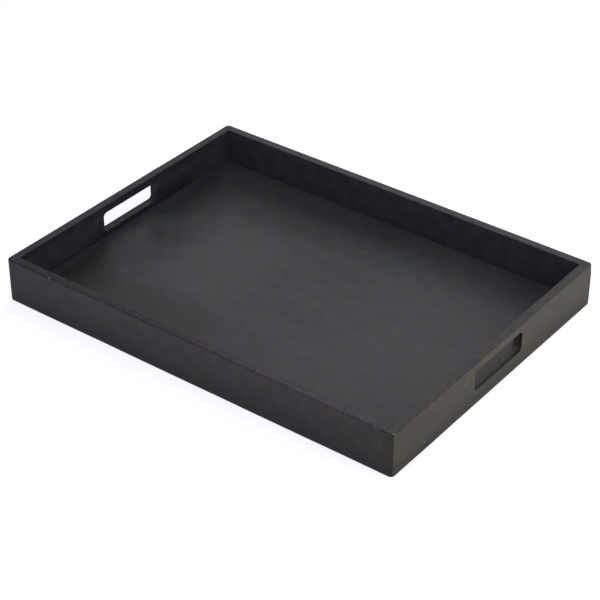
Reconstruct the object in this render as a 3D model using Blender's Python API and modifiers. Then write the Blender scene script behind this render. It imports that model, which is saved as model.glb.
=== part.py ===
"""Butler tray: four thin rails joined round a thin floor, with a finger slot through each short rail.

Units are metres. X runs along the tray, Y across it from front to back, and Z up. The origin is at
the middle of the underside, on the surface that the tray stands on.
"""

import math

import bmesh
import bpy

# Driving dimensions of the whole tray
TRAY_LENGTH = 0.430
TRAY_DEPTH = 0.320
TRAY_HEIGHT = 0.045
RAIL_THICKNESS = 0.009
JOINT_GAP = 0.0003          # room left between any two pieces that meet

# Rounding left on the frame by sanding it as one piece
UPRIGHT_CORNER_RADIUS = 0.0040
UPRIGHT_CORNER_STEPS = 6    # flats that stand for the round of an upright corner
TOP_OUTER_RADIUS = 0.0013
TOP_INNER_RADIUS = 0.0008
FOOT_OUTER_RADIUS = 0.0018
FOOT_INNER_RADIUS = 0.0005
ARC_STEPS = 4               # flats that stand for the round of an arris

# Floor board and the groove that holds it
PANEL_THICKNESS = 0.004
FLOOR_HEIGHT = 0.008        # from the underside of the rails to the top of the floor
GROOVE_DEPTH = 0.004
PANEL_EDGE_ROUNDING = 0.0003

# Finger slots through the handle rails
SLOT_LENGTH = 0.076
SLOT_HEIGHT = 0.0210
SLOT_CORNER_RADIUS = 0.004
SLOT_MOUTH_RADIUS = 0.0003
SLOT_CORNER_STEPS = 6

# Dowels that hold the corners
DOWEL_DIAMETER = 0.005
DOWEL_LENGTH = 0.022
DOWEL_GLUE_ROOM = 0.0005    # left past each end of a dowel in its hole
WOOD_PAST_DOWEL_HOLE = 0.0025   # left between a blind hole and the outer face
DOWEL_END_CHAMFER = 0.0006
DOWEL_FLUTES = 12
DOWEL_FLUTE_DEPTH = 0.00015
LOWER_DOWEL_OVER_FLOOR = 0.008
UPPER_DOWEL_UNDER_RIM = 0.011
HOLE_SIDES = 24

OVERCUT = 0.005             # how far a cutter runs past the wood that it cuts
LEAST_CORNER_RADIUS = 0.0001    # what a corner keeps where its rounding would run out
SAME_POINT = 0.0000001      # two points this close are one

# Sizes that follow from those above
HALF_LENGTH = TRAY_LENGTH / 2
HALF_DEPTH = TRAY_DEPTH / 2
WELL_HALF_LENGTH = HALF_LENGTH - RAIL_THICKNESS
WELL_HALF_DEPTH = HALF_DEPTH - RAIL_THICKNESS
GROOVE_FOOT = FLOOR_HEIGHT - PANEL_THICKNESS - JOINT_GAP
GROOVE_HEIGHT = PANEL_THICKNESS + 2 * JOINT_GAP
GROOVE_END_RADIUS = GROOVE_HEIGHT / 2
PANEL_HALF_LENGTH = WELL_HALF_LENGTH + GROOVE_DEPTH - JOINT_GAP
PANEL_HALF_DEPTH = WELL_HALF_DEPTH + GROOVE_DEPTH - JOINT_GAP
SLOT_MIDDLE_HEIGHT = (FLOOR_HEIGHT + TRAY_HEIGHT) / 2
DOWEL_IN_HANDLE_RAIL = RAIL_THICKNESS - WOOD_PAST_DOWEL_HOLE - DOWEL_GLUE_ROOM
DOWEL_HEIGHTS = {
    "lower": FLOOR_HEIGHT + LOWER_DOWEL_OVER_FLOOR,
    "upper": TRAY_HEIGHT - UPPER_DOWEL_UNDER_RIM,
}
SIDES = {"left": -1, "right": 1}
ENDS = {"front": -1, "back": 1}


def clear_scene():
    """Removes whatever the scene opened with."""
    for thing in list(bpy.data.objects):
        bpy.data.objects.remove(thing)


def new_collection(name):
    """A collection of the scene, for the tray's pieces or for the cutters that shape them."""
    collection = bpy.data.collections.new(name)
    bpy.context.scene.collection.children.link(collection)
    return collection


def finish(name, colour, roughness):
    """A plain finish: its colour and how far it scatters the light."""
    material = bpy.data.materials.new(name)
    material.use_nodes = True
    shader = material.node_tree.nodes["Principled BSDF"]
    shader.inputs["Base Color"].default_value = (*colour, 1.0)
    shader.inputs["Roughness"].default_value = roughness
    shader.inputs["Metallic"].default_value = 0.0
    material.diffuse_color = (*colour, 1.0)
    return material


def add_object(name, mesh, collection, material=None):
    """Puts a mesh into a collection under a name, with its finish."""
    thing = bpy.data.objects.new(name, mesh)
    collection.objects.link(thing)
    if material:
        mesh.materials.clear()
        mesh.materials.append(material)
    else:
        thing.hide_render = True
        thing.display_type = "WIRE"
    return thing


def rounded_rectangle(width, height, radius, steps):
    """Outline of a rectangle with rounded corners, as (across, up) pairs about its middle."""
    outline = []
    for turn, (side, end) in enumerate(((1, 1), (-1, 1), (-1, -1), (1, -1))):
        centre_across = side * (width / 2 - radius)
        centre_up = end * (height / 2 - radius)
        for step in range(steps + 1):
            angle = math.radians(90) * (turn + step / steps)
            outline.append((
                centre_across + radius * math.cos(angle),
                centre_up + radius * math.sin(angle),
            ))
    return [
        point for i, point in enumerate(outline) if math.dist(point, outline[i - 1]) > SAME_POINT
    ]


def arris_profile(radius):
    """A quarter-round edge, as (how far the edge stands back, depth below the face) pairs."""
    profile = []
    for step in range(ARC_STEPS + 1):
        angle = math.radians(90) * step / ARC_STEPS
        profile.append((radius * (1 - math.sin(angle)), radius * (1 - math.cos(angle))))
    return profile


def loft(name, rings):
    """A closed solid through rings of the same number of points, flat at both ends."""
    shape = bmesh.new()
    loops = []
    for ring in rings:
        corners = [shape.verts.new(point) for point in ring]
        loops.append([
            shape.edges.new((corners[i - 1], corners[i])) for i in range(len(corners))
        ])
        if ring is rings[0] or ring is rings[-1]:
            shape.faces.new(corners)
    for lower, upper in zip(loops, loops[1:]):
        bmesh.ops.bridge_loops(shape, edges=lower + upper)
    bmesh.ops.recalc_face_normals(shape, faces=shape.faces)
    mesh = bpy.data.meshes.new(name)
    shape.to_mesh(mesh)
    shape.free()
    mesh.shade_smooth()
    mesh.set_sharp_from_angle(angle=math.radians(30))
    return mesh


def block(name, low, high):
    """A plain box between two opposite corners."""
    size = [top - bottom for bottom, top in zip(low, high)]
    middle = [(top + bottom) / 2 for bottom, top in zip(low, high)]
    shape = bmesh.new()
    bmesh.ops.create_cube(shape, size=1)
    bmesh.ops.scale(shape, verts=shape.verts, vec=size)
    bmesh.ops.translate(shape, verts=shape.verts, vec=middle)
    mesh = bpy.data.meshes.new(name)
    shape.to_mesh(mesh)
    shape.free()
    return mesh


def combine(thing, cutter, operation):
    """Cuts a piece with a cutter, or keeps only what lies inside it."""
    modifier = thing.modifiers.new(cutter.name, "BOOLEAN")
    modifier.operation = operation
    modifier.solver = "EXACT"
    modifier.object = cutter


def frame_block_mesh():
    """The outside of the glued-up frame, with the rounding that sanding leaves on it."""
    def ring(stand_back, height):
        outline = rounded_rectangle(
            TRAY_LENGTH - 2 * stand_back,
            TRAY_DEPTH - 2 * stand_back,
            max(UPRIGHT_CORNER_RADIUS - stand_back, LEAST_CORNER_RADIUS),
            UPRIGHT_CORNER_STEPS,
        )
        return [(x, y, height) for x, y in outline]

    foot = [ring(back, depth) for back, depth in arris_profile(FOOT_OUTER_RADIUS)]
    rim = [ring(back, TRAY_HEIGHT - depth) for back, depth in arris_profile(TOP_OUTER_RADIUS)]
    return loft("frame_block", foot + rim[::-1])


def well_mesh():
    """The space inside the rails. It widens at the rim and at the foot by the rounded arrises."""
    def ring(flare, height):
        outline = rounded_rectangle(
            2 * (WELL_HALF_LENGTH + flare), 2 * (WELL_HALF_DEPTH + flare), 0, 1
        )
        return [(x, y, height) for x, y in outline]

    foot = [ring(back, depth) for back, depth in arris_profile(FOOT_INNER_RADIUS)]
    rim = [ring(back, TRAY_HEIGHT - depth) for back, depth in arris_profile(TOP_INNER_RADIUS)]
    below = ring(FOOT_INNER_RADIUS, -OVERCUT)
    above = ring(TOP_INNER_RADIUS, TRAY_HEIGHT + OVERCUT)
    return loft("well", [below] + foot + rim[::-1] + [above])


def slot_mesh(side):
    """The finger slot of one handle rail. Its mouths widen by the rounded arris on each face."""
    inner_face = WELL_HALF_LENGTH
    outer_face = HALF_LENGTH

    def ring(flare, station):
        outline = rounded_rectangle(
            SLOT_LENGTH + 2 * flare,
            SLOT_HEIGHT + 2 * flare,
            SLOT_CORNER_RADIUS + flare,
            SLOT_CORNER_STEPS,
        )
        return [(side * station, y, SLOT_MIDDLE_HEIGHT + z) for y, z in outline]

    mouth = arris_profile(SLOT_MOUTH_RADIUS)
    inner = [ring(back, inner_face + depth) for back, depth in mouth]
    outer = [ring(back, outer_face - depth) for back, depth in mouth]
    inside = ring(SLOT_MOUTH_RADIUS, inner_face - OVERCUT)
    outside = ring(SLOT_MOUTH_RADIUS, outer_face + OVERCUT)
    return loft("finger_slot", [inside] + inner + outer[::-1] + [outside])


def stopped_groove_mesh(side):
    """The groove in a handle rail. A round cutter sinks in past one edge of the floor board and
    leaves past the other, so the groove has round ends, hidden behind the long rails."""
    bottom = WELL_HALF_LENGTH + GROOVE_DEPTH
    mouth = WELL_HALF_LENGTH - OVERCUT
    half_run = PANEL_HALF_DEPTH + JOINT_GAP + GROOVE_END_RADIUS
    outline = rounded_rectangle(
        2 * half_run, GROOVE_HEIGHT, GROOVE_END_RADIUS, SLOT_CORNER_STEPS
    )
    middle = GROOVE_FOOT + GROOVE_HEIGHT / 2
    return loft("stopped_groove", [
        [(side * station, y, middle + z) for y, z in outline] for station in (mouth, bottom)
    ])


def through_groove_mesh(end):
    """The groove in a long rail. It runs out at both ends of the rail."""
    near = end * (WELL_HALF_DEPTH - OVERCUT)
    far = end * (WELL_HALF_DEPTH + GROOVE_DEPTH)
    return block(
        "through_groove",
        (-HALF_LENGTH, min(near, far), GROOVE_FOOT),
        (HALF_LENGTH, max(near, far), GROOVE_FOOT + GROOVE_HEIGHT),
    )


def dowel_mesh():
    """A fluted dowel along Z, with chamfered ends. The flutes let the glue out of the hole."""
    def ring(stand_back, height):
        points = []
        sides = DOWEL_FLUTES * 3
        for i in range(sides):
            flute = DOWEL_FLUTE_DEPTH if i % 3 == 0 else 0
            radius = DOWEL_DIAMETER / 2 - flute - stand_back
            angle = math.radians(360) * i / sides
            points.append((radius * math.cos(angle), radius * math.sin(angle), height))
        return points

    end = DOWEL_LENGTH / 2
    shoulder = end - DOWEL_END_CHAMFER
    return loft("dowel", [
        ring(DOWEL_END_CHAMFER, -end),
        ring(0, -shoulder),
        ring(0, shoulder),
        ring(DOWEL_END_CHAMFER, end),
    ])


def hole_mesh():
    """A drilled hole for a dowel, with room for glue round it and past its ends."""
    shape = bmesh.new()
    radius = DOWEL_DIAMETER / 2 + JOINT_GAP
    bmesh.ops.create_cone(
        shape,
        cap_ends=True,
        segments=HOLE_SIDES,
        radius1=radius,
        radius2=radius,
        depth=DOWEL_LENGTH + 2 * DOWEL_GLUE_ROOM,
    )
    mesh = bpy.data.meshes.new("dowel_hole")
    shape.to_mesh(mesh)
    shape.free()
    return mesh


def lay_in_corner(thing, side, end, height):
    """Lays a dowel, or its hole, along X across the joint of one corner."""
    middle = WELL_HALF_LENGTH + DOWEL_IN_HANDLE_RAIL - DOWEL_LENGTH / 2
    thing.location = (side * middle, end * (HALF_DEPTH - RAIL_THICKNESS / 2), height)
    thing.rotation_euler = (0, math.radians(90), 0)


def build_tray():
    """Makes every piece of the tray where it sits in the finished frame."""
    tray = new_collection("butler_tray")
    cutters = new_collection("cutters")
    long_rail_black = finish("long_rail_black", (0.036, 0.036, 0.039), 0.45)
    handle_rail_black = finish("handle_rail_black", (0.040, 0.040, 0.040), 0.45)
    floor_black = finish("floor_black", (0.042, 0.042, 0.045), 0.50)
    dowel_beech = finish("dowel_beech", (0.62, 0.44, 0.26), 0.60)

    well = add_object("well_cutter", well_mesh(), cutters)

    # Dowels, and the holes drilled for them
    pin = dowel_mesh()
    hole = hole_mesh()
    holes = {}
    for end_name, end in ENDS.items():
        for side_name, side in SIDES.items():
            for level, height in DOWEL_HEIGHTS.items():
                place = f"{end_name}_{side_name}_{level}"
                dowel = add_object("dowel_" + place, pin, tray, dowel_beech)
                lay_in_corner(dowel, side, end, height)
                drilled = add_object("hole_" + place, hole, cutters)
                lay_in_corner(drilled, side, end, height)
                holes[end_name, side_name, level] = drilled

    # Handle rails, which run the full depth of the tray
    for side_name, side in SIDES.items():
        rail = add_object(side_name + "_handle_rail", frame_block_mesh(), tray, handle_rail_black)
        combine(rail, well, "DIFFERENCE")
        near, far = side * WELL_HALF_LENGTH, side * (HALF_LENGTH + OVERCUT)
        length = block(
            "handle_rail_length",
            (min(near, far), -HALF_DEPTH - OVERCUT, -OVERCUT),
            (max(near, far), HALF_DEPTH + OVERCUT, TRAY_HEIGHT + OVERCUT),
        )
        combine(rail, add_object(side_name + "_rail_length", length, cutters), "INTERSECT")
        slot = add_object(side_name + "_finger_slot", slot_mesh(side), cutters)
        combine(rail, slot, "DIFFERENCE")
        groove = add_object(side_name + "_groove", stopped_groove_mesh(side), cutters)
        combine(rail, groove, "DIFFERENCE")
        for end_name in ENDS:
            for level in DOWEL_HEIGHTS:
                combine(rail, holes[end_name, side_name, level], "DIFFERENCE")

    # Long rails, which fit between the handle rails
    for end_name, end in ENDS.items():
        rail = add_object(end_name + "_rail", frame_block_mesh(), tray, long_rail_black)
        combine(rail, well, "DIFFERENCE")
        shoulder = WELL_HALF_LENGTH - JOINT_GAP
        outside = end * (HALF_DEPTH + OVERCUT)
        length = block(
            "long_rail_length",
            (-shoulder, min(0, outside), -OVERCUT),
            (shoulder, max(0, outside), TRAY_HEIGHT + OVERCUT),
        )
        combine(rail, add_object(end_name + "_rail_length", length, cutters), "INTERSECT")
        groove = add_object(end_name + "_groove", through_groove_mesh(end), cutters)
        combine(rail, groove, "DIFFERENCE")
        for side_name in SIDES:
            for level in DOWEL_HEIGHTS:
                combine(rail, holes[end_name, side_name, level], "DIFFERENCE")

    # Floor board, held by its edges in the grooves of all four rails
    panel = add_object("base_panel", block(
        "base_panel",
        (-PANEL_HALF_LENGTH, -PANEL_HALF_DEPTH, FLOOR_HEIGHT - PANEL_THICKNESS),
        (PANEL_HALF_LENGTH, PANEL_HALF_DEPTH, FLOOR_HEIGHT),
    ), tray, floor_black)
    edge = panel.modifiers.new("eased_edges", "BEVEL")
    edge.width = PANEL_EDGE_ROUNDING
    edge.segments = 2


clear_scene()
build_tray()
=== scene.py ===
import math

import bmesh
import bpy
from mathutils import Matrix, Vector, noise


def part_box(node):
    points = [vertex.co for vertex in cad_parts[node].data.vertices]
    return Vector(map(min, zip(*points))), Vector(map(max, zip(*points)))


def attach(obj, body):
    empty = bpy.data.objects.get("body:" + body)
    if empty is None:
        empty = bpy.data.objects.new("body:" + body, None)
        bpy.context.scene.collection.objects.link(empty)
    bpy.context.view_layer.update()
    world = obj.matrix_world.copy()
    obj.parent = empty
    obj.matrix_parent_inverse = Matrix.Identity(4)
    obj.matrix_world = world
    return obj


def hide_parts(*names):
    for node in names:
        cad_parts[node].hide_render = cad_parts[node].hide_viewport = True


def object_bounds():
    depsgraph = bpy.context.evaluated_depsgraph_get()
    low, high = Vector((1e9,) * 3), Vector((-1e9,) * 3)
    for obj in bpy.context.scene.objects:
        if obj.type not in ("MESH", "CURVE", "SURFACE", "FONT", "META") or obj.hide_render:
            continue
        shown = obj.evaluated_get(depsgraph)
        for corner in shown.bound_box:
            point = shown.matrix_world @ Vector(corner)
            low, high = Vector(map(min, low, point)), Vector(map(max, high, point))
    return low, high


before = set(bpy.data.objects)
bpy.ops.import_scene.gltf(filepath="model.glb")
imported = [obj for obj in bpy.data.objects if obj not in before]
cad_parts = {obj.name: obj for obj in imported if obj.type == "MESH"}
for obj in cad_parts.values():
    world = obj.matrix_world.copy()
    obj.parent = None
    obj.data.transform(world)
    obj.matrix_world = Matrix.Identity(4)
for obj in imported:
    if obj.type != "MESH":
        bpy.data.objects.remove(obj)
cad_low, cad_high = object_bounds()

# Photographer's stand
# The camera looks down on the near right corner of the tray from about 1.7 m away, through a long
# lens, so the sides of the tray run nearly parallel.
camera_azimuth = math.radians(35.43)
camera_elevation = math.radians(33.52)
camera_roll = math.radians(1.11)
camera_distance = 1.748
aim_right_of_tray_middle = 0.0423
aim_above_tray_middle = 0.0188
lens_mm = 113.2
film_shift_across = -0.0767
film_shift_up = -0.0310
farthest_seen = 20.0

lens = bpy.data.cameras.new("studio_camera")
lens.lens = lens_mm
lens.shift_x = film_shift_across
lens.shift_y = film_shift_up
lens.clip_end = farthest_seen
camera = bpy.data.objects.new("studio_camera", lens)
bpy.context.scene.collection.objects.link(camera)
turned = (
    Matrix.Rotation(camera_azimuth, 3, "Z")
    @ Matrix.Rotation(math.radians(90) - camera_elevation, 3, "X")
    @ Matrix.Rotation(camera_roll, 3, "Z")
)
camera.location = turned @ Vector((aim_right_of_tray_middle, aim_above_tray_middle, camera_distance))
camera.rotation_euler = turned.to_euler()
bpy.context.scene.camera = camera
bpy.context.scene.view_settings.view_transform = "Standard"


# White table and soft lights round it
# The table is a matt white sheet that runs out of sight and keeps a faint shadow under the tray.
# The room is dimmer than the soft boxes, which stand low on the right, behind and in front.
table_half_width = 3.0
table_white = 0.68
white_lift = 0.63
room_level = (0.32, 0.30, 0.37)
soft_box_distance = 0.9


def add_node(tree, kind, settings=None, **inputs):
    """Adds a node. Settings are the node's own fields, and inputs are its sockets' values."""
    node = tree.nodes.new(kind)
    for field, value in (settings or {}).items():
        setattr(node, field, value)
    for socket, value in inputs.items():
        node.inputs[socket.replace("_", " ")].default_value = value
    return node


def calc(tree, operation, *values):
    """A sum on sockets and numbers, as its result."""
    step = add_node(tree, "ShaderNodeMath", {"operation": operation})
    for value, socket in zip(values, step.inputs):
        if isinstance(value, bpy.types.NodeSocket):
            tree.links.new(value, socket)
        else:
            socket.default_value = value
    return step.outputs[0]


def new_material(name):
    """An empty material, as its material, its node tree and its output node."""
    material = bpy.data.materials.new(name)
    material.use_nodes = True
    tree = material.node_tree
    tree.nodes.clear()
    return material, tree, add_node(tree, "ShaderNodeOutputMaterial")


def background_rays(tree):
    """1 for the rays that show the white background: straight, mirrored and through glass."""
    path = add_node(tree, "ShaderNodeLightPath")
    seen = calc(tree, "MAXIMUM", path.outputs["Is Camera Ray"], path.outputs["Is Glossy Ray"])
    return calc(tree, "MAXIMUM", seen, path.outputs["Is Transmission Ray"])


def soft_box(name, azimuth, elevation, width, height, brightness, colour):
    """A rectangular soft lamp that looks at the tray, at an azimuth and an elevation in degrees.
    Brightness 1 shows as white."""
    data = bpy.data.lights.new(name, "AREA")
    data.shape = "RECTANGLE"
    data.size = width
    data.size_y = height
    data.energy = math.pi * width * height * brightness
    data.color = colour
    turn, rise = math.radians(azimuth), math.radians(elevation)
    place = Vector((math.cos(turn) * math.cos(rise), math.sin(turn) * math.cos(rise), math.sin(rise)))
    lamp = bpy.data.objects.new(name, data)
    lamp.location = place * soft_box_distance
    lamp.rotation_euler = place.to_track_quat("Z", "Y").to_euler()
    lamp.visible_camera = False
    bpy.context.scene.collection.objects.link(lamp)


soft_box("low_right_box", 6, 14, 0.50, 0.42, 8.0, (1.0, 0.968, 0.78))
soft_box("far_right_box", 48, 22, 0.30, 0.28, 3.2, (1.0, 0.95, 0.86))
soft_box("front_box", -90, 32, 0.50, 0.45, 4.8, (0.82, 0.82, 1.0))
soft_box("back_box", 120, 45, 0.30, 0.28, 1.5, (1.0, 1.0, 0.96))
soft_box("back_right_box", 105, 30, 0.30, 0.28, 1.2, (1.0, 1.0, 0.97))
soft_box("back_left_box", 135, 15, 0.30, 0.28, 0.7, (1.0, 1.0, 1.0))
soft_box("high_back_box", 135, 60, 0.30, 0.28, 2.4, (0.94, 0.96, 1.0))

table_material, tree, output = new_material("table_white")
sheet = add_node(tree, "ShaderNodeBsdfDiffuse", Color=(table_white, table_white, table_white, 1))
lift = add_node(tree, "ShaderNodeEmission", Color=(1, 1, 1, 1))
tree.links.new(calc(tree, "MULTIPLY", background_rays(tree), white_lift), lift.inputs["Strength"])
both = add_node(tree, "ShaderNodeAddShader")
tree.links.new(sheet.outputs[0], both.inputs[0])
tree.links.new(lift.outputs[0], both.inputs[1])
tree.links.new(both.outputs[0], output.inputs["Surface"])

sheet_shape = bmesh.new()
bmesh.ops.create_grid(sheet_shape, x_segments=2, y_segments=2, size=table_half_width)
table_mesh = bpy.data.meshes.new("table")
sheet_shape.to_mesh(table_mesh)
sheet_shape.free()
table_mesh.materials.append(table_material)
table = bpy.data.objects.new("table", table_mesh)
bpy.context.scene.collection.objects.link(table)

world = bpy.data.worlds.new("room")
bpy.context.scene.world = world
world.use_nodes = True
tree = world.node_tree
tree.nodes.clear()
room = add_node(tree, "ShaderNodeBackground", Color=(*room_level, 1), Strength=1.0)
backdrop = add_node(tree, "ShaderNodeBackground", Color=(1, 1, 1, 1), Strength=1.0)
either = add_node(tree, "ShaderNodeMixShader")
tree.links.new(background_rays(tree), either.inputs[0])
tree.links.new(room.outputs[0], either.inputs[1])
tree.links.new(backdrop.outputs[0], either.inputs[2])
output = add_node(tree, "ShaderNodeOutputWorld")
tree.links.new(either.outputs[0], output.inputs["Surface"])


# Long rails
# The front and back rails are straight lengths of hardwood, 9 mm thick, cut square and dowelled
# between the handle rails. A groove near the foot takes the floor board. Once the frame is glued
# up, its edges are sanded over by hand and it is painted satin black, so the grain just shows.
front_low, front_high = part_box("front_rail")
handle_inner_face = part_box("right_handle_rail")[0].x
panel_low, panel_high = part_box("base_panel")
tray_length = cad_high.x - cad_low.x
tray_depth = cad_high.y - cad_low.y
tray_height = cad_high.z
rail_thickness = front_high.y - front_low.y
left_rail_planed_off = 0.0008
well_middle = -left_rail_planed_off / 2
well_half_length = handle_inner_face + left_rail_planed_off / 2
well_half_depth = -front_high.y
floor_height = panel_high.z
groove_clearance = 0.0003
groove_bottom_half_length = panel_high.x + groove_clearance
groove_bottom_half_depth = panel_high.y + groove_clearance
closest_points = 1e-7


def outline_of(length, width, radius, steps):
    """Outline of a rectangle with rounded corners, as (across, up) pairs about its middle."""
    points = []
    for turn, (side, end) in enumerate(((1, 1), (-1, 1), (-1, -1), (1, -1))):
        for step in range(steps + 1):
            angle = math.radians(90) * (turn + step / steps)
            points.append((
                side * (length / 2 - radius) + radius * math.cos(angle),
                end * (width / 2 - radius) + radius * math.sin(angle),
            ))
    return [p for i, p in enumerate(points) if math.dist(p, points[i - 1]) > closest_points]


corner_steps = 10
station_spacing = 0.008


def walk_round(length, width, radii):
    """Stations round a rectangle, each with the direction that it faces. The corners' radii run
    back right, back left, front left and front right."""
    corners = []
    for turn, (side, end) in enumerate(((1, 1), (-1, 1), (-1, -1), (1, -1))):
        radius = radii[turn]
        middle = Vector((side * (length / 2 - radius), end * (width / 2 - radius)))
        if radius:
            for step in range(corner_steps + 1):
                angle = math.radians(90) * (turn + step / corner_steps)
                facing = Vector((math.cos(angle), math.sin(angle)))
                corners.append((middle + radius * facing, facing))
        else:
            corners.append((middle, Vector((side, end))))
    stations = []
    for (point, facing), (following, _) in zip(corners, corners[1:] + corners[:1]):
        stations.append((point, facing))
        run = following - point
        side_length = length if abs(run.x) > abs(run.y) else width
        cuts = round(side_length / station_spacing) if run.length > side_length / 2 else 1
        for cut in range(1, cuts):
            stations.append((point + run * cut / cuts, Vector((run.y, -run.x)).normalized()))
    return stations


top_outer_radius = 0.0013
top_inner_radius = 0.0008
foot_outer_radius = 0.0018
foot_inner_radius = 0.0005
sanding_wander = 0.22
sanding_stroke = 0.045
arris_noise_apart = 100
right_arris_crisper = 0.00070
right_arris_taper = 0.0016
back_arris_crisper = 0.0003


def sanded_radius(radius, point, facing):
    """The radius of an arris, which wanders as the sanding block passes along the rail."""
    place = Vector((point.x, point.y, radius * arris_noise_apart)) / sanding_stroke
    wandered = radius * (1 + sanding_wander * noise.noise(place))
    if radius == top_outer_radius:
        wandered -= max(0, facing.x) * (right_arris_crisper + right_arris_taper * point.y)
        wandered -= max(0, facing.y) * back_arris_crisper
    return wandered


arris_steps = 6


def rounded_over(stations, radius, height, rise, flare):
    """Rings over a sanded arris, from the flat face to the wall. Flare -1 stands back inwards."""
    rings = []
    for step in range(arris_steps + 1):
        turn = math.radians(90) * step / arris_steps
        ring = []
        for point, facing in stations:
            local = sanded_radius(radius, point, facing)
            moved = point + facing * flare * local * (1 - math.sin(turn))
            ring.append((moved.x, moved.y, height + rise * local * (1 - math.cos(turn))))
        rings.append(ring)
    return rings


def solid_through(name, rings):
    """A closed solid through rings of the same number of points, flat at both ends."""
    shape = bmesh.new()
    loops = [[shape.verts.new(point) for point in ring] for ring in rings]
    for lower, upper in zip(loops, loops[1:]):
        for i in range(len(lower)):
            shape.faces.new((lower[i - 1], lower[i], upper[i], upper[i - 1]))
    shape.faces.new(loops[0])
    shape.faces.new(loops[-1])
    bmesh.ops.recalc_face_normals(shape, faces=shape.faces)
    return as_object(name, shape)


def box_between(name, low, high):
    """A square-edged block between two opposite corners."""
    shape = bmesh.new()
    bmesh.ops.create_cube(shape, size=1)
    bmesh.ops.scale(shape, verts=shape.verts, vec=[b - a for a, b in zip(low, high)])
    bmesh.ops.translate(shape, verts=shape.verts, vec=[(a + b) / 2 for a, b in zip(low, high)])
    return as_object(name, shape)


def as_object(name, shape):
    """Turns a finished shape into an object of the scene."""
    mesh = bpy.data.meshes.new(name)
    shape.to_mesh(mesh)
    shape.free()
    thing = bpy.data.objects.new(name, mesh)
    bpy.context.scene.collection.objects.link(thing)
    return thing


def carve(piece, cutter, operation="DIFFERENCE"):
    """Cuts a piece with a cutter, or keeps what is inside it, and takes the cutter away."""
    cut = piece.modifiers.new("cut", "BOOLEAN")
    cut.operation = operation
    cut.solver = "EXACT"
    cut.object = cutter
    bpy.context.view_layer.update()
    ready = piece.evaluated_get(bpy.context.evaluated_depsgraph_get())
    carved = bpy.data.meshes.new_from_object(ready)
    piece.modifiers.clear()
    old = piece.data
    piece.data = carved
    bpy.data.meshes.remove(old)
    bpy.data.objects.remove(cutter)


rim_corner_radii = (0.0046, 0.0043, 0.0040, 0.0011)
upright_corner_radii = (0.0025, 0.0043, 0.0040, 0.0011)
worn_foot_corner_radii = (0.0028, 0.0043, 0.0040, 0.0044)
worn_foot_height = 0.0060
worn_rim_height = 0.0350
overcut = 0.005


def sanded_frame(name):
    """The glued-up frame as one block, rounded on its outer edges, with the well cut out."""
    worn_foot = walk_round(tray_length, tray_depth, worn_foot_corner_radii)
    outside = walk_round(tray_length, tray_depth, upright_corner_radii)
    worn_rim = walk_round(tray_length, tray_depth, rim_corner_radii)
    foot = rounded_over(worn_foot, foot_outer_radius, 0, 1, -1)
    heights = (worn_foot_height, worn_rim_height)
    wall = [[(point.x, point.y, height) for point, _ in outside] for height in heights]
    rim = rounded_over(worn_rim, top_outer_radius, tray_height, -1, -1)
    block = solid_through(name, foot + wall + rim[::-1])
    inside = walk_round(2 * well_half_length, 2 * well_half_depth, (0, 0, 0, 0))
    inside = [(point + Vector((well_middle, 0)), facing) for point, facing in inside]
    well_foot = rounded_over(inside, foot_inner_radius, 0, 1, 1)
    well_rim = rounded_over(inside, top_inner_radius, tray_height, -1, 1)
    below = [(x, y, -overcut) for x, y, _ in well_foot[0]]
    above = [(x, y, tray_height + overcut) for x, y, _ in well_rim[0]]
    carve(block, solid_through("well", [below] + well_foot + well_rim[::-1] + [above]))
    return block


chip_raggedness = 0.3
chip_roughness = 1.7


def knock_chip(piece, place, size):
    """Takes a small ragged chip out of an arris."""
    shape = bmesh.new()
    bmesh.ops.create_icosphere(shape, subdivisions=2, radius=1)
    for corner in shape.verts:
        ragged = 1 + chip_raggedness * noise.noise(corner.co * chip_roughness)
        corner.co = place + Vector([c * s * ragged for c, s in zip(corner.co, size)])
    carve(piece, as_object("chip", shape))


sharpest_smooth_angle = 35
broad_face_weight = 100


def smooth_faces(piece):
    """Shades the rounded arrises smooth and keeps the broad faces flat."""
    piece.data.shade_smooth()
    piece.data.set_sharp_from_angle(angle=math.radians(sharpest_smooth_angle))
    even = piece.modifiers.new("flat_faces", "WEIGHTED_NORMAL")
    even.keep_sharp = True
    even.weight = broad_face_weight


dowel_hole_radius = 0.0028
dowel_hole_spare_depth = 0.0005
hole_steps = 6


def drill_for_dowels(piece, side, end):
    """Drills the two dowel holes of one corner."""
    for level in ("lower", "upper"):
        place = "front" if end < 0 else "back"
        hand = "left" if side < 0 else "right"
        low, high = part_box(f"dowel_{place}_{hand}_{level}")
        middle = (low + high) / 2
        across = outline_of(2 * dowel_hole_radius, 2 * dowel_hole_radius, dowel_hole_radius, hole_steps)
        rings = [
            [(x, middle.y + y, middle.z + z) for y, z in across]
            for x in (low.x - dowel_hole_spare_depth, high.x + dowel_hole_spare_depth)
        ]
        carve(piece, solid_through("dowel_hole", rings))


noise_roughness = 0.55
mottle_share = (0.30, 0.70)


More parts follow.
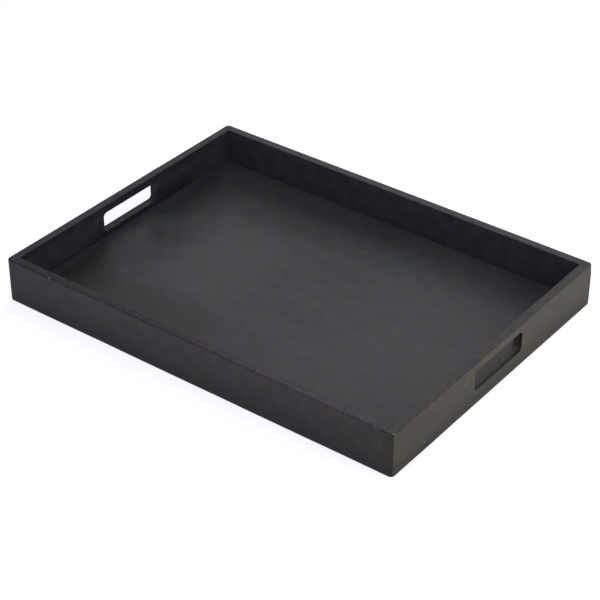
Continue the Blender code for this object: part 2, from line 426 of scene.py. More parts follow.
class Finish:
    """A finish that builds up in layers: its colour, its roughness and its relief so far. An amount
    says how much of a layer lies on each point of the piece, from 0 to 1."""

    def __init__(self, name):
        """Opens an empty material, and finds where on the tray each point lies."""
        self.material, self.tree, self.output = new_material(name)
        self.place = add_node(self.tree, "ShaderNodeTexCoord").outputs["Object"]
        self.x, self.y, self.z = self.split(self.place)

    def split(self, value):
        """The X, Y and Z parts of a place or a direction."""
        parts = add_node(self.tree, "ShaderNodeSeparateXYZ")
        self.tree.links.new(value, parts.inputs[0])
        return list(parts.outputs)

    def calc(self, operation, *values):
        """A sum on sockets and numbers, as its result."""
        return calc(self.tree, operation, *values)

    def times(self, first, *others):
        """Amounts multiplied together."""
        for other in others:
            first = self.calc("MULTIPLY", first, other)
        return first

    def rest_of(self, amount):
        """What an amount leaves of 1."""
        return self.calc("SUBTRACT", 1, amount)

    def scaled(self, amount, least, span):
        """An amount stretched over a span of values, from the least one up."""
        return self.calc("MULTIPLY_ADD", amount, span, least)

    def between(self, value, low, high, first=0.0, last=1.0):
        """Follows a value from low to high with a smooth step between two results."""
        step = add_node(self.tree, "ShaderNodeMapRange", {"interpolation_type": "SMOOTHSTEP"})
        self.tree.links.new(value, step.inputs[0])
        for number, socket in zip((low, high, first, last), list(step.inputs)[1:]):
            socket.default_value = number
        return step.outputs[0]

    def noise_of(self, sizes, detail=2.0, shift=0.0):
        """Noise whose patches are drawn out to the given sizes, in metres, along X, Y and Z."""
        drawn = add_node(self.tree, "ShaderNodeMapping")
        drawn.inputs["Scale"].default_value = [1 / size for size in sizes]
        drawn.inputs["Location"].default_value = (shift, shift, shift)
        self.tree.links.new(self.place, drawn.inputs["Vector"])
        texture = add_node(self.tree, "ShaderNodeTexNoise", Scale=1.0, Detail=detail)
        texture.inputs["Roughness"].default_value = noise_roughness
        self.tree.links.new(drawn.outputs[0], texture.inputs["Vector"])
        return texture.outputs["Fac"]

    def mixed(self, amount, first, second, way="MIX"):
        """Blends two colours, each a socket or plain red, green and blue."""
        blend = add_node(self.tree, "ShaderNodeMix", {"data_type": "RGBA", "blend_type": way})
        for value, socket in ((amount, 0), (first, 6), (second, 7)):
            if isinstance(value, bpy.types.NodeSocket):
                self.tree.links.new(value, blend.inputs[socket])
            else:
                blend.inputs[socket].default_value = value if socket == 0 else (*value, 1)
        return blend.outputs[2]

    def lay(self, amount, colour):
        """Lays a colour over the finish."""
        self.colour = self.mixed(amount, self.colour, colour)

    def tint(self, amount, cast):
        """Multiplies the finish's colour by a cast."""
        self.lay(amount, self.mixed(1, self.colour, cast, "MULTIPLY"))

    def dull(self, amount, by):
        """Makes the finish rougher, or glossier if the step is negative."""
        self.roughness = self.calc("MULTIPLY_ADD", amount, by, self.roughness)

    def emboss(self, amount, by):
        """Raises the finish's relief, or lowers it if the step is negative."""
        self.height = self.calc("MULTIPLY_ADD", amount, by, self.height)

    def mottle(self, patch, tint, shade):
        """Casts warm and cool, rosy and green, and lighter and darker patches over the colour. Each
        row holds where its noise is taken, how strong it is, and its cast."""
        for shift, force, cast in (
            (12.4, tint, (0.11, 0.01, -0.12)),
            (17.9, tint, (0.06, -0.11, 0.07)),
            (23.3, shade, (0.24, 0.24, 0.24)),
        ):
            patches = self.noise_of((patch, patch, patch), 2.0, shift)
            patches = self.between(patches, *mottle_share)
            less = [1 - force * part for part in cast]
            more = [1 + force * part for part in cast]
            self.colour = self.mixed(1, self.colour, self.mixed(patches, less, more), "MULTIPLY")

    def stroke(self, start, stop, width):
        """1 along a short stroke between two points on the tray, fading to 0 at its edge."""
        start, run = Vector(start), Vector(stop) - Vector(start)
        apart = add_node(self.tree, "ShaderNodeVectorMath", {"operation": "SUBTRACT"})
        self.tree.links.new(self.place, apart.inputs[0])
        apart.inputs[1].default_value = start
        nearest = add_node(self.tree, "ShaderNodeVectorMath", {"operation": "SCALE"})
        nearest.inputs[0].default_value = run
        if run.length:
            along = add_node(self.tree, "ShaderNodeVectorMath", {"operation": "DOT_PRODUCT"})
            self.tree.links.new(apart.outputs[0], along.inputs[0])
            along.inputs[1].default_value = run / run.length_squared
            held = add_node(self.tree, "ShaderNodeClamp")
            self.tree.links.new(along.outputs["Value"], held.inputs[0])
            self.tree.links.new(held.outputs[0], nearest.inputs["Scale"])
        gap = add_node(self.tree, "ShaderNodeVectorMath", {"operation": "DISTANCE"})
        self.tree.links.new(apart.outputs[0], gap.inputs[0])
        self.tree.links.new(nearest.outputs[0], gap.inputs[1])
        return self.between(gap.outputs["Value"], width / 4, width / 2, 1.0, 0.0)

    def finished(self, relief, reflection=0.5):
        """Joins colour, roughness and relief, and hands over the material."""
        bump = add_node(self.tree, "ShaderNodeBump", Strength=1.0, Distance=relief)
        self.tree.links.new(self.height, bump.inputs["Height"])
        coat = add_node(self.tree, "ShaderNodeBsdfPrincipled", Specular_IOR_Level=reflection)
        self.tree.links.new(self.colour, coat.inputs["Base Color"])
        self.tree.links.new(self.roughness, coat.inputs["Roughness"])
        self.tree.links.new(bump.outputs[0], coat.inputs["Normal"])
        self.tree.links.new(coat.outputs[0], self.output.inputs["Surface"])
        return self.material


arris_facing = (0.80, 0.97)
top_facing = (0.90, 0.99)
wall_facing = (0.5, 0.7)
rim_band = (0.0016, 0.0008)
wall_band = (0.0006, 0.0012)
middle_band = 0.01


class RailPaint(Finish):
    """The paint of a rail, which knows where the rail's faces lie: top, inner, front and so on are
    amounts that are 1 on that part."""

    def __init__(self, name, grain):
        super().__init__(name)
        self.grain = grain
        self.along_rail = (self.x, self.y)[grain]
        surface = add_node(self.tree, "ShaderNodeNewGeometry")
        facing = [self.calc("ABSOLUTE", part) for part in self.split(surface.outputs["Normal"])]
        self.lengthways, self.sideways, self.upwards = facing
        squarest = self.calc("MAXIMUM", self.lengthways, self.sideways)
        squarest = self.calc("MAXIMUM", squarest, self.upwards)
        self.arris = self.between(squarest, *arris_facing, 1.0, 0.0)
        self.across_tray = self.calc("ABSOLUTE", self.y)
        self.along_tray = self.calc("ABSOLUTE", self.calc("SUBTRACT", self.x, well_middle))
        self.near_rim = self.between(self.z, tray_height - rim_band[0], tray_height - rim_band[1])
        self.top = self.times(self.between(self.upwards, *top_facing), self.near_rim)
        self.front = self.between(self.y, -middle_band, middle_band, 1.0, 0.0)
        self.left = self.between(self.x, -middle_band, middle_band, 1.0, 0.0)
        self.right = self.between(self.x, -middle_band, middle_band)
        walls = ((self.across_tray, well_half_depth), (self.along_tray, well_half_length))
        distance, wall = walls[grain]
        inner = self.between(distance, wall + wall_band[0], wall + wall_band[1], 1.0, 0.0)
        self.inner = self.times(inner, self.between(self.upwards, *wall_facing, 1.0, 0.0))

    def drawn_out(self, along, across):
        """Sizes of a patch that is drawn out along the grain."""
        return [along if axis == self.grain else across for axis in range(3)]


rail_black = (0.0152, 0.0147, 0.0156)
rail_black_thin = (0.0205, 0.0196, 0.0196)
stain_black = (0.0075, 0.0070, 0.0070)
rubbed_black = (0.026, 0.024, 0.023)
streak_size = (0.030, 0.0013)
speckle_size = (0.0032, 0.0018)
pore_size = (0.0060, 0.00045)
cloud_size = (0.040, 0.040, 0.025)
streak_share = 0.6
speckle_share = 0.5
thin_share = (0.40, 0.72)
pore_share = (0.60, 0.72)
rub_share = (0.42, 0.62)
pore_stain = 0.5
rub_strength = 0.35
rail_sheen_roughness = 0.42
sheen_cloud = 0.10
sheen_speckle = 0.12
pore_dullness = 0.15
streak_relief = 0.4
speckle_relief = 0.9
pore_relief = 0.6


def first_coat(paint):
    """Thin satin black, so that the grain just shows. It's rubbed thinner on the arrises."""
    streaks = paint.noise_of(paint.drawn_out(*streak_size), 3.0)
    pores = paint.noise_of(paint.drawn_out(*pore_size), 1.0, 3.7)
    pores = paint.between(pores, *pore_share)
    cloud = paint.noise_of(cloud_size, 2.0, 8.1)
    speckle = paint.noise_of(paint.drawn_out(*speckle_size), 2.0, 5.3)
    thin = paint.times(streaks, streak_share)
    thin = paint.calc("ADD", thin, paint.times(speckle, speckle_share))
    paint.colour = paint.mixed(paint.between(thin, *thin_share), rail_black, rail_black_thin)
    paint.lay(paint.times(pores, pore_stain), stain_black)
    rub = paint.times(paint.arris, paint.between(cloud, *rub_share))
    paint.lay(paint.times(rub, rub_strength), rubbed_black)
    evenly = rail_sheen_roughness - sheen_cloud / 2
    paint.roughness = paint.scaled(cloud, evenly, sheen_cloud)
    paint.roughness = paint.calc("SUBTRACT", paint.roughness, sheen_speckle / 2)
    paint.dull(speckle, sheen_speckle)
    paint.dull(pores, pore_dullness)
    paint.height = paint.times(speckle, speckle_relief)
    paint.emboss(streaks, streak_relief)
    paint.emboss(pores, -pore_relief)


shaded_black = (0.0012, 0.0013, 0.0026)
front_arris_shade_band = (0.0024, 0.0014)
front_arris_shade_run = (0.09, -0.06)
front_arris_shade_thinnest = 0.65
front_arris_shade_strength = 0.85
front_arris_shade_dullness = 0.08
foot_shade_height = 0.024
foot_shade = 0.85
foot_shade_run = (-0.15, 0.20)
foot_shade_ends = (1.08, 0.58)


def arris_and_foot_shade(paint):
    """Painted shade: a dark line along the front rail's top arris, where it reflects the darker side of
    the room. The faces are painted darker towards the foot, and on the long rails more at the left than
    at the right."""
    edge = tray_depth / 2
    # Painted shade: a dark line where the front arris reflects the darker side of the room
    line = paint.between(paint.across_tray, edge - front_arris_shade_band[0], edge - front_arris_shade_band[1])
    line = paint.times(line, paint.near_rim, paint.front)
    line = paint.times(line, paint.between(paint.x, *front_arris_shade_run, front_arris_shade_thinnest, 1.0))
    paint.lay(paint.times(line, front_arris_shade_strength), stain_black)
    paint.dull(line, front_arris_shade_dullness)
    # Painted shade: the faces darken towards the foot, where they reflect the tray's shadow on the table
    shade = paint.between(paint.z, 0.0, foot_shade_height, foot_shade, 0.0)
    if paint.grain == 0:
        shade = paint.times(shade, paint.between(paint.x, *foot_shade_run, *foot_shade_ends))
    paint.lay(shade, shaded_black)


# Painted light: a lighter black for the upper part of the faces
upper_face_light_black = (0.036, 0.034, 0.033)
upper_face_light_height = (0.018, 0.042)
upper_face_light_strength = 0.55
long_rail_upper_light_ends = (((-0.20, -0.12), (0.21, 0.16)), (0.3, 1.0))
handle_rail_upper_light_ends = (((-0.110, -0.050), (0.130, 0.060)), (0.0, 0.8))


def lighter_upper_faces(paint):
    """Painted light: the upper part of the faces is painted lighter, where they reflect the lit table,
    and less so towards the ends of the rail.
    """
    upper_light = paint.between(paint.z, *upper_face_light_height, 0.0, upper_face_light_strength)
    upper_light = paint.calc("MAXIMUM", paint.calc("SUBTRACT", upper_light, paint.top), 0)
    ends, least_and_most = (long_rail_upper_light_ends, handle_rail_upper_light_ends)[paint.grain]
    for end in ends:
        upper_light = paint.times(upper_light, paint.between(paint.along_rail, *end, *least_and_most))
    paint.lay(upper_light, upper_face_light_black)


# Worn paint and painted light: the tops' lighter black. Painted light: their bluer cast
worn_and_lit_top_black = (0.0356, 0.0343, 0.0336)
top_light_cast = (0.95, 0.93, 1.15)
nib_size = (0.0042, 0.0018)
nib_share = (0.25, 0.75)
nib_dullness = (-0.07, 0.26)
nib_relief = 0.6
top_wear_and_light_run = (0.0, 0.15)
top_wear_and_light = 0.8
dull_shaded_end_run = (-0.17, 0.10)
dull_end_dullness = 0.07
dull_end_shade = 0.5
polished_end_run = (0.10, 0.18)
polished_end_gloss = 0.05


def worn_tops(paint):
    """The tops are handled most, so nibs and wear break up their sheen. They are painted lighter, partly
    as worn paint and partly as painted light from above, and bluer with painted light. The front rail's
    is lighter towards the right, and darker with painted shade and duller at the left, and the back
    rail's is polished at the right."""
    nibs = paint.noise_of(paint.drawn_out(*nib_size), 2.0, 31.7)
    worn = paint.scaled(paint.between(nibs, *nib_share), *nib_dullness)
    paint.emboss(paint.times(paint.top, nibs), nib_relief)
    # The tops are painted lighter, partly as worn paint and partly as painted light from above
    worn_and_lit = paint.between(paint.x, *top_wear_and_light_run)
    if paint.grain == 0:
        worn_and_lit = paint.calc("ADD", paint.times(worn_and_lit, paint.front), paint.rest_of(paint.front))
    paint.lay(paint.times(worn_and_lit, paint.top, top_wear_and_light), worn_and_lit_top_black)
    paint.tint(paint.top, top_light_cast)
    if paint.grain == 0:
        # Painted shade: the front rail's top is painted darker at its left end, which is also duller
        duller = paint.between(paint.x, *dull_shaded_end_run, 1.0, 0.0)
        duller = paint.times(duller, paint.front, paint.top)
        worn = paint.scaled(duller, worn, dull_end_dullness)
        paint.lay(paint.times(duller, dull_end_shade), stain_black)
        polished = paint.calc("SUBTRACT", paint.between(paint.x, *polished_end_run), paint.front)
        polished = paint.times(paint.calc("MAXIMUM", polished, 0), paint.top)
        worn = paint.scaled(polished, worn, -polished_end_gloss)
    paint.dull(paint.top, worn)


near_corner_light_cast = (1.02, 1.07, 0.88)
near_corner_run = (0.13, 0.205)
inner_wall_strength = 0.8
mottle_patch = 0.013
rail_mottle_tint = 0.66
rail_mottle_shade = 0.68
inner_foot_height = (0.018, 0.010)
inner_foot_shade = 0.15


def outer_and_inner_walls(paint, inner_lit_black):
    """The front face is painted greener near the right corner, as painted light. The inner walls are
    painted a black of their own, lighter than the outer faces, as painted light in the well, and those of
    the long rails are painted darker at the floor, as painted shade."""
    if paint.grain == 0:
        # Painted light: a greener cast on the front face near the right corner
        near_corner = paint.times(paint.front, paint.between(paint.x, *near_corner_run))
        paint.tint(paint.times(near_corner, paint.rest_of(paint.upwards)), near_corner_light_cast)
    # Painted light: the inner walls' lighter black
    paint.lay(paint.times(paint.inner, inner_wall_strength), inner_lit_black)
    paint.mottle(mottle_patch, rail_mottle_tint, rail_mottle_shade)
    if paint.grain == 0:
        # Painted shade where the long rails' inner walls meet the floor
        near_floor = paint.between(paint.z, *inner_foot_height, 0.0, inner_foot_shade)
        paint.lay(paint.times(paint.inner, near_floor), shaded_black)


glue_line_width = 0.0005
glue_line_break = 0.006
glue_line_share = (0.45, 0.60)
glue_line_strength = 0.8
glue_line_relief = 0.4


def glue_lines(paint):
    """The joint between the rails shows as a fine broken line on the outer face and the top."""
    off_line = paint.calc("ABSOLUTE", paint.calc("SUBTRACT", paint.along_tray, well_half_length))
    line = paint.between(off_line, glue_line_width / 4, glue_line_width, 1.0, 0.0)
    broken = paint.noise_of((glue_line_break, glue_line_break, glue_line_break), 1.0, 6.6)
    line = paint.times(line, paint.between(broken, *glue_line_share))
    outside_well = (well_half_depth, well_half_depth + glue_line_width)
    line = paint.times(line, paint.between(paint.across_tray, *outside_well))
    paint.lay(paint.times(line, glue_line_strength), stain_black)
    paint.emboss(line, -glue_line_relief)


rail_reflection = 0.15
grain_relief = 0.000018
front_chip = Vector((-0.1620, -0.1599, 0.0449))
left_chip = Vector((-0.2149, -0.1410, 0.0449))

# Where each mark starts and stops, its width and its colour: two chips, a rub, a painted highlight on
# the near corner's top, two stains, dust
rail_marks = [
    (front_chip, front_chip, 0.0017, (0.62, 0.60, 0.58)),
    (left_chip, left_chip, 0.0012, (0.16, 0.15, 0.14)),
    ((0.1945, -0.1600, 0.0443), (0.2003, -0.1600, 0.0443), 0.0010, (0.075, 0.073, 0.072)),
    # Painted highlight on the top of the near corner
    ((0.2127, -0.1584, 0.0450), (0.2146, -0.1583, 0.0448), 0.0013, (0.130, 0.127, 0.124)),
    ((0.2025, -0.1598, 0.0446), (0.2085, -0.1598, 0.0446), 0.0016, stain_black),
    ((0.2055, -0.1600, 0.0300), (0.2055, -0.1600, 0.0370), 0.0009, stain_black),
    ((0.2150, -0.1138, 0.0098), (0.2150, -0.1138, 0.0098), 0.0012, (0.40, 0.37, 0.33)),
]


def rail_paint_along(name, grain, inner_lit_black, own_layers=()):
    """The layers of a rail's paint whose grain runs along axis 0, X, or axis 1, Y. A rail's own layers
    come before the glue lines, and the chips, a rub, a painted highlight and specks lie on top."""
    paint = RailPaint(name, grain)
    first_coat(paint)
    arris_and_foot_shade(paint)
    lighter_upper_faces(paint)
    worn_tops(paint)
    outer_and_inner_walls(paint, inner_lit_black)
    for layer in own_layers:
        layer(paint)
    glue_lines(paint)
    for start, stop, width, shade in rail_marks:
        paint.lay(paint.stroke(start, stop, width), shade)
    return paint.finished(grain_relief, rail_reflection)


front_chip_size = Vector((0.0010, 0.0006, 0.0006))
groove_slack = 0.00004
joint_hairline = 0.00003
# Painted light: a lighter black for the long rails' inner walls
long_rail_inner_lit_black = (0.0262, 0.0256, 0.0305)

long_rail_paint = rail_paint_along("long_rail_paint", 0, long_rail_inner_lit_black)

for end_name, end in (("front", -1), ("back", 1)):
    rail = sanded_frame(end_name + "_long_rail")
    shoulder = well_half_length - joint_hairline
    outside_y = end * (tray_depth / 2 + overcut)
    carve(rail, box_between(
        "rail_length",
        (well_middle - shoulder, min(0, outside_y), -overcut),
        (well_middle + shoulder, max(0, outside_y), tray_height + overcut),
    ), "INTERSECT")
    near, far = end * (well_half_depth - overcut), end * groove_bottom_half_depth
    carve(rail, box_between(
        "groove",
        (-tray_length, min(near, far), panel_low.z - groove_slack),
        (tray_length, max(near, far), panel_high.z + groove_slack),
    ))
    for side in (-1, 1):
        drill_for_dowels(rail, side, end)
    if end_name == "front":
        knock_chip(rail, front_chip, front_chip_size)
    smooth_faces(rail)
    rail.data.materials.clear()
    rail.data.materials.append(long_rail_paint)
    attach(rail, "root")
    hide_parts(end_name + "_rail")


# Dowels
# Eight fluted beech dowels, glued across the corners, out of sight in their holes. The grain runs
# along them, with short brown flecks.
beech_dark = (0.52, 0.34, 0.19)
beech_light = (0.68, 0.49, 0.30)
fleck_brown = (0.36, 0.21, 0.11)
growth_size = (0.030, 0.0012, 0.0012)
fleck_size = (0.0025, 0.0003, 0.0003)
fleck_share = (0.60, 0.70)
fleck_strength = 0.6
beech_roughness = (0.5, 0.2)
beech_relief = 0.00002

beech = Finish("bare_beech")
growth = beech.noise_of(growth_size, 3.0)
flecks = beech.between(beech.noise_of(fleck_size, 1.0, 4.2), *fleck_share)
beech.colour = beech.mixed(growth, beech_dark, beech_light)
beech.lay(beech.times(flecks, fleck_strength), fleck_brown)
beech.roughness = beech.scaled(growth, *beech_roughness)
beech.height = growth
bare_beech = beech.finished(beech_relief)
for name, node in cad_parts.items():
    if name.startswith("dowel_"):
        node.material_slots[0].link = "OBJECT"
        node.material_slots[0].material = bare_beech


# Floor board
# A 4 mm veneered board, let into the grooves of all four rails before the frame is closed, and
# painted the same black. Its finish is duller and smoother than the rails', with a little dust, and
# with painted light and shade.
floor_black = (0.0162, 0.0160, 0.0203)
floor_black_worn = (0.0209, 0.0206, 0.0254)
floor_cloud_size = (0.060, 0.045, 0.045)
floor_streak_size = (0.060, 0.0020, 0.0020)
floor_speckle_size = (0.0040, 0.0030, 0.0030)
floor_pore_size = (0.0050, 0.0005, 0.0005)
floor_worn_share = (0.35, 0.68)
floor_pore_share = (0.66, 0.76)
floor_pore_stain = 0.35
floor_mottle_patch = 0.017
floor_mottle_tint = 1.30
floor_mottle_shade = 1.10

floor = Finish("floor_paint")
cloud = floor.noise_of(floor_cloud_size, 3.0, 2.3)
streaks = floor.noise_of(floor_streak_size, 3.0, 7.7)
speckle = floor.noise_of(floor_speckle_size, 2.0, 5.9)
pores = floor.between(floor.noise_of(floor_pore_size, 1.0, 9.4), *floor_pore_share)
floor.colour = floor.mixed(floor.between(cloud, *floor_worn_share), floor_black, floor_black_worn)
floor.lay(floor.times(pores, floor_pore_stain), stain_black)
floor.mottle(floor_mottle_patch, floor_mottle_tint, floor_mottle_shade)

# Painted light: the floor is painted lighter along the back wall and on the far right
back_wall_light_grey = (0.038, 0.037, 0.038)
back_wall_light_strip = 0.042
far_right_light_grey = (0.062, 0.061, 0.062)
far_right_light_across = (0.105, 0.135)
far_right_light_along = (-0.02, 0.12)
far_right_light_strength = 0.25
back_wall_light = floor.between(floor.y, well_half_depth - back_wall_light_strip, well_half_depth)
floor.lay(floor.calc("POWER", back_wall_light, 2), back_wall_light_grey)
far_right_light = floor.times(floor.between(floor.y, *far_right_light_across), far_right_light_strength)
floor.lay(floor.times(far_right_light, floor.between(floor.x, *far_right_light_along)), far_right_light_grey)

# Painted shade: a dark band runs along the left wall, where the left rail's shadow falls, but not beside
# the slot, which lets light through, and a lighter grey band lies in the corner
left_wall = well_middle - well_half_length
beside_slot_band = (0.025, 0.050)
left_wall_shade_fades = (left_wall + 0.056, left_wall + 0.014)
left_wall_shade_starts = (left_wall + 0.002, left_wall + 0.016)
left_wall_shade_across = (0.140, 0.090)
left_wall_shade_strength = 0.80
corner_grey = (0.036, 0.035, 0.037)
corner_grey_reach = 0.0110
corner_grey_strength = 0.8
corner_grey_off_slot_loss = 0.4
across = floor.calc("ABSOLUTE", floor.y)
off_slot = floor.between(across, *beside_slot_band)
# Painted shade: the left rail's shadow on the floor
left_wall_shade = floor.between(floor.x, *left_wall_shade_fades, 0.0, left_wall_shade_strength)
left_wall_shade = floor.times(left_wall_shade, floor.between(floor.x, *left_wall_shade_starts))
left_wall_shade = floor.times(left_wall_shade, floor.between(floor.y, *left_wall_shade_across))
floor.lay(floor.times(left_wall_shade, off_slot), stain_black)
# A lighter grey band along the foot of the left wall, stronger beside the slot
corner = (left_wall + corner_grey_reach, left_wall)
corner = floor.between(floor.x, *corner, 0.0, corner_grey_strength)
corner_grey_share = floor.scaled(off_slot, 1, -corner_grey_off_slot_loss)
floor.lay(floor.times(corner, corner_grey_share), corner_grey)

# Painted shade: two dark bands lie on the left half, with a patch of painted sheen between them
shaded_band_across = ((0.068, 0.088), (0.138, 0.115))
shaded_band_along = (0.03, -0.06)
shaded_band_from_wall = (left_wall + 0.012, left_wall + 0.045)
shaded_band_strength = 0.5
front_to_back = (-0.05, 0.05)
shaded_band_front_and_back = (1.4, 1.0)
painted_sheen_grey = (0.046, 0.046, 0.047)
sheen_patch_across = (0.080, 0.045)
sheen_patch_along = ((-0.152, -0.118), (-0.02, -0.08))
sheen_patch_strength = 0.42
# Painted shade: the two dark bands
dull = floor.times(*[floor.between(across, *band) for band in shaded_band_across])
dull = floor.times(dull, floor.between(floor.x, *shaded_band_along, 0.0, shaded_band_strength))
dull = floor.times(dull, floor.between(floor.x, *shaded_band_from_wall))
dull = floor.times(dull, floor.between(floor.y, *front_to_back, *shaded_band_front_and_back))
floor.lay(dull, stain_black)
# Painted sheen: a lighter patch between the bands
sheen_patch = floor.times(floor.between(across, *sheen_patch_across), sheen_patch_strength)
for run in sheen_patch_along:
    sheen_patch = floor.times(sheen_patch, floor.between(floor.x, *run))
floor.lay(sheen_patch, painted_sheen_grey)

# Painted light: the right half is painted a little lighter, as painted sheen, and warmer beside the
# right rail, as painted warm light
right_half = (0.0, 0.14)
right_half_sheen = 0.30
beside_handle = (0.178, 0.196)
near_handle_light_cast = (1.0, 1.02, 0.85)
floor.lay(floor.between(floor.x, *right_half, 0.0, right_half_sheen), painted_sheen_grey)
floor.tint(floor.between(floor.x, *beside_handle), near_handle_light_cast)

# Specks of dust, one dimple and one scratch
dust = (0.15, 0.15, 0.16)
speck_size = 0.0011
dust_specks = [
    (0.0807, 0.0076), (0.0908, -0.0105), (0.1273, 0.0126), (0.1554, -0.0149), (0.1257, 0.0869),
    (0.1208, -0.0050), (0.1141, -0.0594), (-0.1947, 0.0782), (-0.1605, 0.1345),
]
dimple = (0.1577, -0.0931, floor_height)
dimple_size = 0.0020
dimple_depth = 6
scratch_start = (0.1289, 0.1102, floor_height)
scratch_stop = (0.1424, 0.1080, floor_height)
scratch_width = 0.0008
scratch_strength = 0.35
for x, y in dust_specks:
    speck = (x, y, floor_height)
    floor.lay(floor.stroke(speck, speck, speck_size), dust)
pit = floor.stroke(dimple, dimple, dimple_size)
floor.lay(pit, stain_black)
scratch = floor.stroke(scratch_start, scratch_stop, scratch_width)
floor.lay(floor.times(scratch, scratch_strength), dust)

# Sheen and relief
floor_sheen_roughness = 0.47
floor_sheen_cloud = 0.08
floor_sheen_speckle = 0.06
floor_reflection = 0.22
floor_streak_relief = 0.4
floor_speckle_relief = 0.3
floor_pore_relief = 0.3
floor_relief = 0.000010
evenly = floor_sheen_roughness - floor_sheen_cloud / 2
floor.roughness = floor.scaled(cloud, evenly, floor_sheen_cloud)
floor.roughness = floor.calc("SUBTRACT", floor.roughness, floor_sheen_speckle / 2)
floor.dull(speckle, floor_sheen_speckle)
floor.height = floor.times(speckle, floor_speckle_relief)
floor.emboss(streaks, floor_streak_relief)
floor.emboss(pores, -floor_pore_relief)
floor.emboss(pit, -dimple_depth)
floor_paint = floor.finished(floor_relief, floor_reflection)

eased_width = 0.0003
board = box_between("floor_board", panel_low, panel_high)
eased = board.modifiers.new("eased_edges", "BEVEL")
eased.width = eased_width
eased.segments = 2
board.data.materials.append(floor_paint)
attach(board, "root")
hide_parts("base_panel")


# Handle rails
# The short rails are of the same hardwood and run the full depth of the tray, glued over the ends
# of the long rails. Each has a finger slot, routed through and eased on both faces.
slot_length = 0.076
slot_heights = {-1: 0.0202, 1: 0.0210}
slot_foot = (floor_height + tray_height) / 2 - slot_heights[1] / 2
slot_corner_radius = 0.004
slot_corner_steps = 12
slot_mouth_radius = 0.0003
groove_runs_on = rail_thickness / 4
left_chip_size = Vector((0.0005, 0.0009, 0.0005))


def inner_face(side):
    """How far the inner face of a handle rail stands from the middle of the tray."""
    return well_half_length + side * well_middle


def finger_slot(side):
    """The cutter for a finger slot. Its mouths widen by the rounded arris on each face."""
    slot_height = slot_heights[side]

    def ring(flare, station):
        points = outline_of(
            slot_length + 2 * flare,
            slot_height + 2 * flare,
            slot_corner_radius + flare,
            slot_corner_steps,
        )
        return [(side * station, y, slot_foot + slot_height / 2 + z) for y, z in points]

    mouth = []
    for step in range(arris_steps + 1):
        turn = math.radians(90) * step / arris_steps
        mouth.append((slot_mouth_radius * (1 - math.sin(turn)), slot_mouth_radius * (1 - math.cos(turn))))
    inner = [ring(back, inner_face(side) + depth) for back, depth in mouth]
    outer = [ring(back, tray_length / 2 - depth) for back, depth in mouth]
    before = ring(slot_mouth_radius, inner_face(side) - overcut)
    beyond = ring(slot_mouth_radius, tray_length / 2 + overcut)
    return solid_through("finger_slot", [before] + inner + outer[::-1] + [beyond])


def stopped_groove(side):
    """The cutter for the groove of a handle rail, which stops short of the rail's ends."""
    half_run = groove_bottom_half_depth + groove_runs_on
    height = panel_high.z - panel_low.z + 2 * groove_slack
    middle = (panel_high.z + panel_low.z) / 2
    points = outline_of(2 * half_run, height, height / 2, hole_steps)
    stations = (inner_face(side) - overcut, groove_bottom_half_length)
    rings = [[(side * x, y, middle + z) for y, z in points] for x in stations]
    return solid_through("stopped_groove", rings)


# Painted light: a lighter black for the handle rails' inner walls
handle_rail_inner_lit_black = (0.0208, 0.0203, 0.0282)
shade_foot = 0.0120
under_rim_height = (0.033, 0.042)
under_rim_shade = 0.4
off_arris_band = (0.0006, 0.0018)
low_wall_height = (0.036, shade_foot + 0.002)
low_wall_runs = ((-0.075, -0.030), (0.130, 0.060))
low_wall_shade = 0.5
low_wall_gloss = 0.03
pale_foot_height = (shade_foot - 0.0002, shade_foot - 0.0020)
pale_foot_strength = 0.20
glossy_run = (0.130, 0.060)
wall_gloss = 0.05
fine_line_edges = (0.0009, 0.0003)
fine_line_run = (0.120, 0.060)
fine_line_strength = 0.9
far_end_run = (0.110, 0.145)
far_end_strength = 0.5


def left_inner_wall(paint):
    """The left inner wall is glossier. Painted shade darkens it under the rim and down towards a fine
    dark line, and below that line lies a paler strip. Its far end is painted as light as the back wall,
    as painted light."""
    left = paint.times(paint.inner, paint.left)
    # Painted shade under the rim
    under_rim = paint.times(left, paint.between(paint.z, *under_rim_height, 0.0, under_rim_shade))
    off_arris = paint.between(paint.z, *[tray_height - band for band in off_arris_band])
    paint.lay(paint.times(under_rim, off_arris), shaded_black)
    pale_foot = paint.between(paint.z, *pale_foot_height)
    # Painted shade: the wall darkens towards the fine line, where the right rail's shadow falls
    low = paint.times(paint.between(paint.z, *low_wall_height), paint.rest_of(pale_foot))
    for run in low_wall_runs:
        low = paint.times(low, paint.between(paint.y, *run))
    low = paint.times(low, left)
    paint.lay(paint.times(low, low_wall_shade), shaded_black)
    paint.dull(low, -low_wall_gloss)
    paint.dull(paint.times(left, paint.between(paint.y, *glossy_run)), -wall_gloss)
    # A fine dark line along the wall above its foot
    fine_line = paint.calc("ABSOLUTE", paint.calc("SUBTRACT", paint.z, shade_foot))
    fine_line = paint.times(paint.between(fine_line, *fine_line_edges), left)
    fine_line = paint.times(fine_line, paint.between(paint.y, *fine_line_run, 0.0, fine_line_strength))
    paint.lay(fine_line, shaded_black)
    paint.lay(paint.times(pale_foot, left, pale_foot_strength), corner_grey)
    # Painted light: the wall's far end is painted as light as the back wall
    far_end = paint.between(paint.y, *far_end_run, 0.0, far_end_strength)
    paint.lay(paint.times(left, far_end), long_rail_inner_lit_black)


right_top_light_cast = (1.03, 1.09, 0.88)
right_face_light_cast = (1.08, 1.02, 0.76)
right_face_band = (0.003, 0.001)
right_face_facing = (0.6, 0.9)
end_grain_black = (0.0166, 0.0178, 0.0118)
end_grain_facing = (0.55, 0.85)
vessel_size = 0.0007
vessel_stain = (0.1, 0.5)
end_grain_dullness = 0.03
vessel_relief = 0.8


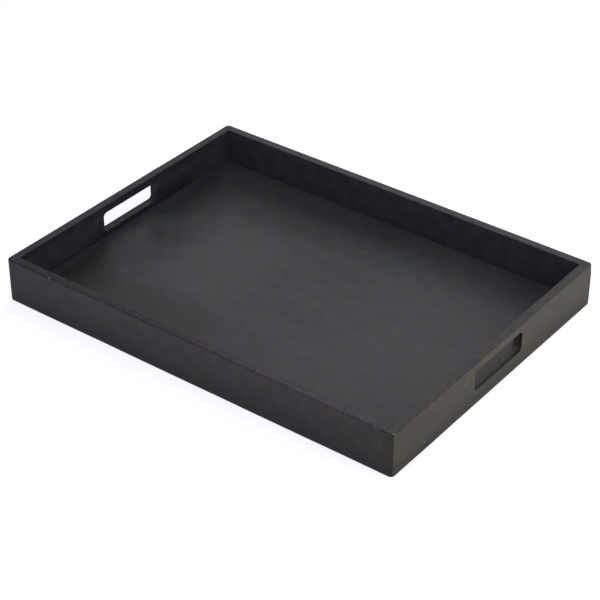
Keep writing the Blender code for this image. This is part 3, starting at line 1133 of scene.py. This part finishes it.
def right_rail_and_end_grain(paint):
    """Painted light: the right rail's top is painted greener and its outer face warmer, as the light
    falls on them. The end grain, at the ends of the handle rails and of their slots, drinks the paint and
    stays dull."""
    right_top = paint.times(paint.top, paint.between(paint.x, 0.0, well_half_length))
    # Painted light: coloured casts on the right rail's top and outer face
    paint.tint(right_top, right_top_light_cast)
    outer = paint.between(paint.x, *[tray_length / 2 - band for band in right_face_band])
    outer = paint.times(outer, paint.between(paint.lengthways, *right_face_facing))
    paint.tint(outer, right_face_light_cast)
    end_grain = paint.between(paint.sideways, *end_grain_facing)
    vessels = paint.noise_of((vessel_size, vessel_size, vessel_size), 3.0, 1.9)
    drunk = paint.scaled(vessels, *vessel_stain)
    paint.lay(paint.times(end_grain, drunk), end_grain_black)
    paint.dull(end_grain, end_grain_dullness)
    paint.emboss(paint.times(end_grain, vessels), vessel_relief)


routed_black = (0.0128, 0.0120, 0.0150)
routed_right_black = (0.0390, 0.0370, 0.0370)
routed_outer_black = (0.0052, 0.0052, 0.0058)
routed_half_length = slot_length / 2 + 0.0010
routed_foot = slot_foot - 0.0005
routed_top = slot_foot + slot_heights[1] + 0.0005
routed_end_edge = 0.0003
routed_level_edge = 0.0001
routed_strength = 0.7
outer_darkening_from_wall = 0.004
outer_darkening_to_face = 0.001
outer_darkening_strength = 0.8
routed_dullness = (0.04, 0.14)
chatter_size = (0.0040, 0.0022, 0.0030)
chatter_share = (0.35, 0.65)
chatter_dullness = 0.12
chatter_relief = 1.2


def routed_slot(paint):
    """The routed walls of the finger slots have blacks of their own, lighter in the right slot and darker
    and duller towards the outer face, and the router's chatter shows in them."""
    end = (routed_half_length, routed_half_length + routed_end_edge)
    routed = paint.between(paint.across_tray, *end, 1.0, 0.0)
    routed = paint.times(routed, paint.between(paint.lengthways, *wall_facing, 1.0, 0.0))
    for level, first, last in ((routed_foot, 0.0, 1.0), (routed_top, 1.0, 0.0)):
        edge = (level - routed_level_edge, level + routed_level_edge)
        routed = paint.times(routed, paint.between(paint.z, *edge, first, last))
    depth = (well_half_length + outer_darkening_from_wall, tray_length / 2 - outer_darkening_to_face)
    outer_darkening = paint.between(paint.along_tray, *depth)
    routed_tone = paint.mixed(paint.right, routed_black, routed_right_black)
    routed_tone = paint.mixed(paint.times(outer_darkening, outer_darkening_strength), routed_tone, routed_outer_black)
    paint.lay(paint.times(routed, routed_strength), routed_tone)
    chatter = paint.noise_of(chatter_size, 2.0, 14.6)
    duller = paint.scaled(outer_darkening, *routed_dullness)
    duller = paint.scaled(paint.between(chatter, *chatter_share), duller, chatter_dullness)
    paint.dull(routed, duller)
    paint.emboss(paint.times(routed, chatter), chatter_relief)


handle_rail_layers = (left_inner_wall, right_rail_and_end_grain, routed_slot)
handle_rail_paint = rail_paint_along(
    "handle_rail_paint", 1, handle_rail_inner_lit_black, handle_rail_layers
)

for side_name, side in (("left", -1), ("right", 1)):
    rail = sanded_frame(side_name + "_handle")
    near, far = side * inner_face(side), side * (tray_length / 2 + overcut)
    carve(rail, box_between(
        "rail_length",
        (min(near, far), -tray_depth, -overcut),
        (max(near, far), tray_depth, tray_height + overcut),
    ), "INTERSECT")
    carve(rail, finger_slot(side))
    carve(rail, stopped_groove(side))
    for end in (-1, 1):
        drill_for_dowels(rail, side, end)
    if side_name == "left":
        knock_chip(rail, left_chip, left_chip_size)
    smooth_faces(rail)
    rail.data.materials.clear()
    rail.data.materials.append(handle_rail_paint)
    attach(rail, "root")
    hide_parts(side_name + "_handle_rail")
